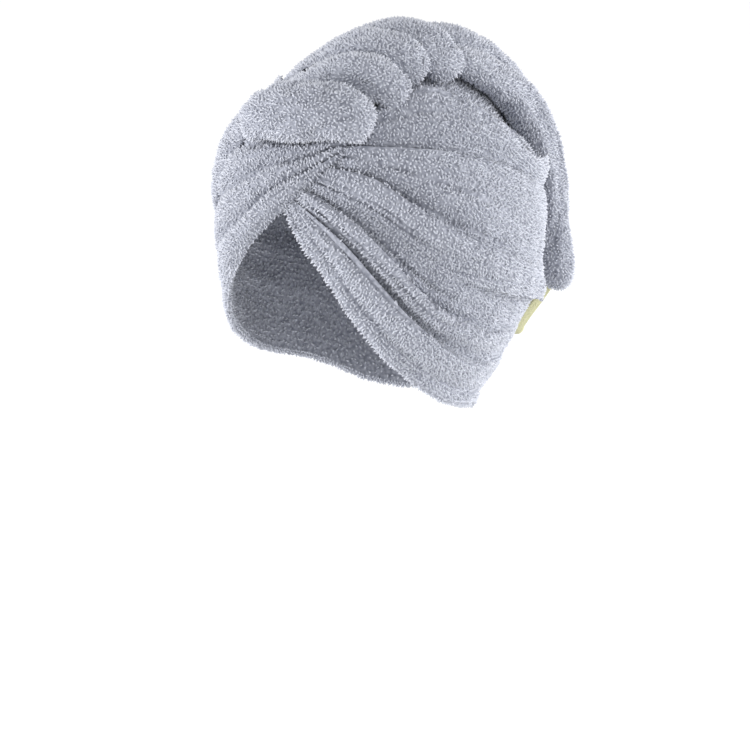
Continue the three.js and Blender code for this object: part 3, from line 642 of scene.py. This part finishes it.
def scatteredPlaces(mesh, pitch):
    mesh.calc_loop_triangles()
    corners = np.empty(len(mesh.loop_triangles) * 3, int)
    mesh.loop_triangles.foreach_get("vertices", corners)
    vertices = meshPoints(mesh) * 1000 + (0, 0, head["crownHeight"])
    a, b, c = (vertices[corners.reshape(-1, 3)[:, k]] for k in range(3))
    normal = np.cross(b - a, c - a)
    area = np.linalg.norm(normal, axis=1) / 2
    count = int(area.sum() / pitch**2 * 4.5)
    pick = rng.choice(len(area), count, p=area / area.sum())
    u, v = rng.random(count), rng.random(count)
    flip = u + v > 1
    u[flip], v[flip] = 1 - u[flip], 1 - v[flip]
    points = a[pick] + (b - a)[pick] * u[:, None] + (c - a)[pick] * v[:, None]
    keep = thinned(points, range(count), 0.8 * pitch)
    normals = unit(normal[pick][keep])
    heading = unit(np.cross(normals, unit(rng.normal(0, 0.35, (len(keep), 3)) + (0.3, 0.6, 0.4))))
    return points[keep], normals, heading


def solidTree(*pieces):
    trees = []
    for piece in pieces:
        bm = bmesh.new()
        bm.from_mesh(piece.data)
        trees.append(BVHTree.FromBMesh(bm))
        bm.free()
    return trees


def uncovered(points, normals, trees, clearance):  # no loop where other cloth lies close over it or round it
    free = np.ones(len(points), bool)
    starts = toMetres(points)
    for i in range(len(points)):
        origin, ahead = Vector(starts[i] + normals[i] * 0.0002), Vector(normals[i])
        for hidden in trees:
            hit = hidden.ray_cast(origin, ahead, 0.03)
            if hit[0] is not None and (hit[3] < clearance / 1000 or hit[1].dot(ahead) > 0):
                free[i] = False
                break
    return free


def growPile(name, points, normals, headings):
    n = len(points)
    turned = rng.normal(0, 0.6, n)
    beside = np.cross(normals, headings)
    t = headings * np.cos(turned)[:, None] + beside * np.sin(turned)[:, None]
    tilt = pile["tilt"]
    up = unit(normals + tilt * rng.normal(0, 1, (n, 1)) * t + tilt * rng.normal(0, 1, (n, 1)) * np.cross(normals, t))
    t = unit(t - up * np.sum(t * up, 1)[:, None])
    b = np.cross(up, t)
    tall = pile["tall"] * rng.uniform(0.75, 1.25, n)
    long = pile["long"] * rng.uniform(0.75, 1.2, n)
    yarn = pile["yarn"] * rng.uniform(0.85, 1.15, n)
    # three rings of three corners, foot, top and foot: (along, height, facing along, facing up, thickness)
    shape = [(-0.4, -0.3, -1.0, 0.2, 0.9), (0, 0.8, 0, 1.0, 1.15), (0.4, -0.3, 1.0, 0.2, 0.9)]
    rings = len(shape)
    corners = np.empty((n, 3 * rings, 3))
    for k, (alongLoop, height, outAlong, outUp, thick) in enumerate(shape):
        middle = points + t * (alongLoop * long)[:, None] + up * (height * tall)[:, None]
        out = outAlong * t + outUp * up
        for j in range(3):
            angle = 2 * np.pi * j / 3 + np.pi / 2
            rim = np.cos(angle) * b + np.sin(angle) * out
            corners[:, 3 * k + j] = middle + rim * (thick * yarn)[:, None]
    spans = [(k, j) for k in range(rings - 1) for j in range(3)]
    quads = [(3 * k + j, 3 * k + (j + 1) % 3, 3 * k + 3 + (j + 1) % 3, 3 * k + 3 + j) for k, j in spans]
    faces = (np.array(quads)[None] + 3 * rings * np.arange(n)[:, None, None]).reshape(-1, 4)
    mesh = bpy.data.meshes.new(name)
    mesh.vertices.add(3 * rings * n)
    mesh.vertices.foreach_set("co", toMetres(corners.reshape(-1, 3)).astype(np.float32).ravel())
    mesh.loops.add(faces.size)
    mesh.loops.foreach_set("vertex_index", faces.ravel().astype(np.int32))
    mesh.polygons.add(len(faces))
    mesh.polygons.foreach_set("loop_start", np.arange(0, faces.size, 4, dtype=np.int32))
    # painted shade: the foot rings get 0 and the top ring 0.8, so the pile material colours each loop darker at its
    # foot
    heights = mesh.attributes.new("loopHeight", "FLOAT", "POINT")
    heights.data.foreach_set("value", np.tile(np.repeat([0.0, 0.8, 0.0], 3), n).astype(np.float32))
    # each loop has its own small square of the texture
    side = math.ceil(math.sqrt(n))
    cell = np.stack([np.arange(n) % side, np.arange(n) // side], 1)
    local = np.array([[(j, k), (j + 1, k), (j + 1, k + 1), (j, k + 1)] for k, j in spans], float) / 3
    uv = (cell[:, None, None, :] + 0.12 + 0.76 * local[None]) / side
    mesh.uv_layers.new(name="OFBake").data.foreach_set("uv", uv.astype(np.float32).ravel())
    mesh.update(calc_edges=True)
    mesh.validate()
    piece = newPiece(name, mesh, pileMaterial)
    print(name, n, "loops")
    return piece


def growPiles(name, points, normals, headings):
    order = np.argsort(points[:, 1] + 0.3 * points[:, 0])
    parts = math.ceil(len(points) / pile["most"])
    return [growPile(f"{name}_{k + 1}" if parts > 1 else name, points[some], normals[some], headings[some])
            for k, some in enumerate(np.array_split(order, parts))]


hoodTree, tailTree, wrapTree = solidTree(hoodPiece)[0], solidTree(tailPiece)[0], solidTree(wrapPiece)[0]

n = bandCount
hoodPiles = []
leftSide = rowsOfPlaces(hoodPoint, 0, n, pile["pitch"], 0.5)
leftRim = rowsOfPlaces(hoodPoint, 4 * n + 1, 4 * n + 2, pile["pitch"], 0.5)
rightSide = rowsOfPlaces(hoodPoint, n, 2 * n + 1, pile["pitch"], 0.5)
outerPlaces = [np.concatenate(parts) for parts in zip(leftSide, leftRim, rightSide)]
sign = np.sign(np.median(np.sum(outerPlaces[0] * outerPlaces[1], 1)))
outerPlaces[1] = outerPlaces[1] * sign
free = uncovered(outerPlaces[0], outerPlaces[1], [tailTree, wrapTree, hoodTree], 1.6)
hoodPiles += growPiles("hood_pile", *(part[free] for part in outerPlaces))

insideRight = rowsOfPlaces(hoodPoint, 2 * n + 1, 3 * n + 1, pile["liningPitch"], 0.5)
insideLeft = rowsOfPlaces(hoodPoint, 3 * n + 1, 4 * n + 1, pile["liningPitch"], 0.5)
insidePlaces = [np.concatenate(pair) for pair in zip(insideLeft, insideRight)]
insidePlaces[1] = insidePlaces[1] * sign
hoodPiles += growPiles("lining_pile", *insidePlaces)

wrapPlaces = list(rowsOfPlaces(wrapPoint, 0, 0.999, pile["pitch"], 0.5))
wrapPlaces[1] = wrapPlaces[1] * np.sign(np.median(np.sum(wrapPlaces[0] * wrapPlaces[1], 1)))
free = uncovered(wrapPlaces[0], wrapPlaces[1], [tailTree, hoodTree, wrapTree], 2.2)
wrapPiles = growPiles("wrap_pile", *(part[free] for part in wrapPlaces))

tailPlaces = scatteredPlaces(tailPiece.data, pile["pitch"])
free = uncovered(tailPlaces[0], tailPlaces[1], [hoodTree, wrapTree, tailTree], 1.6)
tailPiles = growPiles("tail_pile", *(part[free] for part in tailPlaces))

# Elastic loop and button share one frame: across the loop, from the button to the tail, and out of the cloth
fastening = {
    "innerHalfWidth": 3,
    "thickness": 1.6,
    "width": 6,
    "cords": 6,
    "cordDepth": 0.16,
    "steps": 200,
    "around": 40,
    "buttonTop": 5.0,  # over the loop's middle
    # radius and height round the button, from its foot to the middle of its top
    "profile": [(0, -4.7), (4.5, -4.7), (4.9, -4.45), (5, -4.1), (4.9, -3.75), (4.5, -3.5), (2.7, -3.45),
                (2.4, -3.1), (2.4, 3.1), (2.6, 3.4), (3.2, 3.4), (3.5, 3.6), (3.6, 4.0), (3.5, 4.35),
                (3.1, 4.7), (2.6, 4.8), (2.2, 4.55), (1.6, 4.4), (0.8, 4.4), (0, 4.4)],
    "sides": 72,
}


def nodePoints(name):
    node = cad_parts[name]
    turned = np.array(node.matrix_world)
    return meshPoints(node.data) @ turned[:3, :3].T + turned[:3, 3]


def fasteningFrame():  # read from the loop's own faces: most look across it, fewest look along it
    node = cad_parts["elastic_loop"]
    turn = np.array(node.matrix_world)[:3, :3]
    normals = np.array([f.normal for f in node.data.polygons]) @ turn.T
    areas = np.array([f.area for f in node.data.polygons])
    _, axes = np.linalg.eigh((normals * areas[:, None]).T @ normals)
    along, outwards, across = axes[:, 0], axes[:, 1], axes[:, 2]
    loop, button = nodePoints("elastic_loop"), nodePoints("button")
    if np.dot(loop.mean(0) - button.mean(0), along) < 0:
        along = -along
    if np.dot(button.mean(0) * (1, 1, 0), outwards) < 0:
        outwards = -outwards
    across = np.cross(along, outwards)
    height = button @ outwards
    rim = button[height > height.max() - 0.0012].mean(0)
    centre = rim + outwards * (height.max() - fastening["buttonTop"] / 1000 - np.dot(rim, outwards))
    outer = (fastening["innerHalfWidth"] + fastening["thickness"]) / 1000
    length = (loop @ along).max() - np.dot(centre, along) - outer
    return centre, across, along, outwards, length * 1000


centre, across, alongLoop, outwards, loopLength = fasteningFrame()


def inFastening(x, y, z):
    return centre + (x[:, None] * across + y[:, None] * alongLoop + z[:, None] * outwards) / 1000


def loopPoint(share, around):
    r = fastening["innerHalfWidth"] + fastening["thickness"] / 2
    arc = math.pi * r
    d = (share % 1) * 2 * (loopLength + arc)
    turn = np.where(d < loopLength, 0, np.where(d < loopLength + arc, (d - loopLength) / r,
                    np.where(d < 2 * loopLength + arc, np.pi, np.pi + (d - 2 * loopLength - arc) / r)))
    y = np.where(d < loopLength, d, np.where(d < loopLength + arc, loopLength,
                 np.where(d < 2 * loopLength + arc, 2 * loopLength + arc - d, 0)))
    a = 2 * np.pi * around
    z = 0.5 * fastening["width"] * np.sign(np.cos(a)) * np.abs(np.cos(a)) ** 0.6
    ribs = np.abs(np.cos(np.pi * fastening["cords"] * (z / fastening["width"] + 0.5)))
    cord = fastening["cordDepth"] * (ribs - 1)
    out = (0.5 * fastening["thickness"] + cord) * np.sign(np.sin(a)) * np.abs(np.sin(a)) ** 0.6
    wavy = 0.25 * np.sin(d * 0.21)
    return inFastening((r + out) * np.cos(turn), y + (r + out) * np.sin(turn), z + wavy)


# Woven elastic: rubber cores under a knitted yellow-green yarn, cords along the band
elasticMaterial, tree, shader = newMaterial("wovenElastic", {"Roughness": 0.8, "Sheen Weight": 0.15})
place = addNode(tree, "ShaderNodeTexCoord")
weave = addNode(tree, "ShaderNodeTexVoronoi", {"Scale": 1000 / 0.7}, {"Vector": place.outputs["Object"]})
ramp = addNode(tree, "ShaderNodeValToRGB", {}, {"Fac": weave.outputs["Distance"]})
ramp.color_ramp.elements[0].color = linear("#c3c19b")
ramp.color_ramp.elements[1].color = linear("#a2a17e")
tree.links.new(ramp.outputs["Color"], shader.inputs["Base Color"])
raised = {"Strength": 0.5, "Distance": 0.0004, "invert": True}
bump = addNode(tree, "ShaderNodeBump", raised, {"Height": weave.outputs["Distance"]})
tree.links.new(bump.outputs["Normal"], shader.inputs["Normal"])

# Moulded polyester, dyed to go with the elastic
buttonMaterial, tree, shader = newMaterial("mouldedPolyesterButton", {"Roughness": 0.35})
place = addNode(tree, "ShaderNodeTexCoord")
where = {"Vector": place.outputs["Object"]}
cloud = addNode(tree, "ShaderNodeTexNoise", {"Scale": 1000 / 3, "Detail": 3.0}, where)
ramp = addNode(tree, "ShaderNodeValToRGB", {}, {"Fac": cloud.outputs["Fac"]})
ramp.color_ramp.elements[0].color = linear("#c6c498")
ramp.color_ramp.elements[1].color = linear("#d6d4b0")
tree.links.new(ramp.outputs["Color"], shader.inputs["Base Color"])


def buttonPoint(share, turn):
    rows = np.array(fastening["profile"], float)
    at = np.linspace(0, 1, len(rows))
    radius, height = np.interp(share, at, rows[:, 0]), np.interp(share, at, rows[:, 1])
    return inFastening(radius * np.cos(2 * np.pi * turn), radius * np.sin(2 * np.pi * turn), height)


steps, around = fastening["steps"], fastening["around"]
loopPiece = gridPiece("elastic_band", steps, around, loopPoint, elasticMaterial)
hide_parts("elastic_loop")
buttonSteps = 2 * (len(fastening["profile"]) - 1)
buttonPiece = gridPiece("nape_button", buttonSteps, fastening["sides"], buttonPoint, buttonMaterial)
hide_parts("button")

# Floor, light and camera
bm = bmesh.new()
bmesh.ops.create_grid(bm, x_segments=1, y_segments=1, size=6, matrix=Matrix.Translation((0, 0, -0.42)))
mesh = bpy.data.meshes.new("floor")
bm.to_mesh(mesh)
bm.free()
# White paper sweep: matt and nearly white
paper = {"Roughness": 0.9, "Base Color": (0.96, 0.96, 0.96, 1)}
floorMaterial, tree, shader = newMaterial("whitePaperSweep", paper)
mesh.materials.append(floorMaterial)
floor = bpy.data.objects.new("floor", mesh)
scene.collection.objects.link(floor)

world = bpy.data.worlds.new("studio")
scene.world = world
world.use_nodes = True
world.node_tree.nodes["Background"].inputs["Color"].default_value = (1, 1, 1, 1)
world.node_tree.nodes["Background"].inputs["Strength"].default_value = 1.0
scene.view_settings.view_transform = "Standard"

# place from the hollow's middle in metres, size in metres, watts
lamps = {
    "key": ((-0.8, -1.2, 0.2), 0.9, 14),
    "fill": ((1.1, -0.9, -0.4), 1.0, 2.5),
    "rim": ((1.15, 0.75, 0.1), 0.9, 15),
}
headCentre = Vector((0, 0, -head["crownHeight"] / 1000))
for name, (place, size, power) in lamps.items():
    light = bpy.data.lights.new(name, "AREA")
    light.size = size
    light.energy = power
    lamp = bpy.data.objects.new(name, light)
    scene.collection.objects.link(lamp)
    lamp.location = headCentre + Vector(place)
    lamp.rotation_euler = (headCentre - lamp.location).to_track_quat("-Z", "Y").to_euler()

print("floor and", len(lamps), "lamps set")

# degrees, metres and picture points
shot = {"azimuth": 34, "elevation": 22, "distance": 1.1, "focal": 1947, "middle": (371, 235), "picture": 750}
azimuth, elevation = math.radians(shot["azimuth"]), math.radians(shot["elevation"])
outward = math.cos(elevation)
back = Vector((math.sin(azimuth) * outward, -math.cos(azimuth) * outward, math.sin(elevation)))
rightwards = Vector((math.cos(azimuth), math.sin(azimuth), 0))
upwards = rightwards.cross(-back)
down = math.atan((shot["picture"] / 2 - shot["middle"][1]) / shot["focal"])
pan = math.atan((shot["middle"][0] - shot["picture"] / 2) / shot["focal"])
ahead = (math.cos(down) * -back - math.sin(down) * upwards - math.tan(pan) * rightwards).normalized()
camera = bpy.data.objects.new("camera", bpy.data.cameras.new("camera"))
scene.collection.objects.link(camera)
camera.data.sensor_width = 36
camera.data.lens = shot["focal"] / shot["picture"] * 36
camera.data.clip_start = 0.05
camera.location = headCentre + shot["distance"] * back
camera.rotation_euler = ahead.to_track_quat("-Z", "Y").to_euler()
scene.camera = camera
